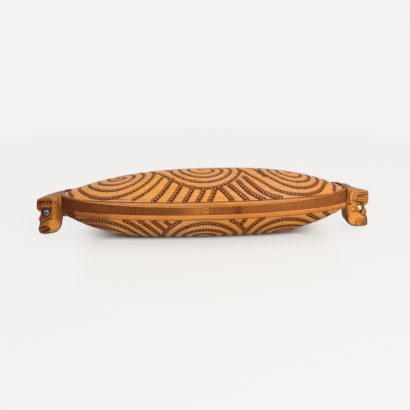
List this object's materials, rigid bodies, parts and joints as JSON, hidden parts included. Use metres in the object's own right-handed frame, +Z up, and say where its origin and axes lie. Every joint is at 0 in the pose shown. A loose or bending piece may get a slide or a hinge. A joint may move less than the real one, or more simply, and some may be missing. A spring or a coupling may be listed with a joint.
{
  "type": "wakahuia treasure box",
  "caption": "Canoe-shaped carved wooden treasure box with a lift-off domed lid, a carved head at each end and shell-inlaid eyes.",
  "frame": {"origin": "on the surface that the box stands on, under the middle of its length and width", "axes": "+X along the box towards its right head, -Y towards the side in the picture, +Z up"},
  "size_m": [0.498, 0.124, 0.097],
  "materials": {
    "hull_wood": "satin",
    "lid_wood": "satin",
    "paua_shell": "iridescent polished shell",
    "pupil_wood": "satin"
  },
  "bodies": {
    "base": {"box_base": "hull_wood", "eye_shell_left_front": "paua_shell", "eye_shell_left_back": "paua_shell", "eye_shell_right_front": "paua_shell", "eye_shell_right_back": "paua_shell", "pupil_peg_left_front": "pupil_wood", "pupil_peg_left_back": "pupil_wood", "pupil_peg_right_front": "pupil_wood", "pupil_peg_right_back": "pupil_wood"},
    "lid": {"lid": "lid_wood"}
  },
  "joints": [
    {"name": "lid_lift", "type": "slide", "parent": "base", "child": "lid", "axis": [0, 0, 1], "range_m": [0, 0.12]}
  ]
}
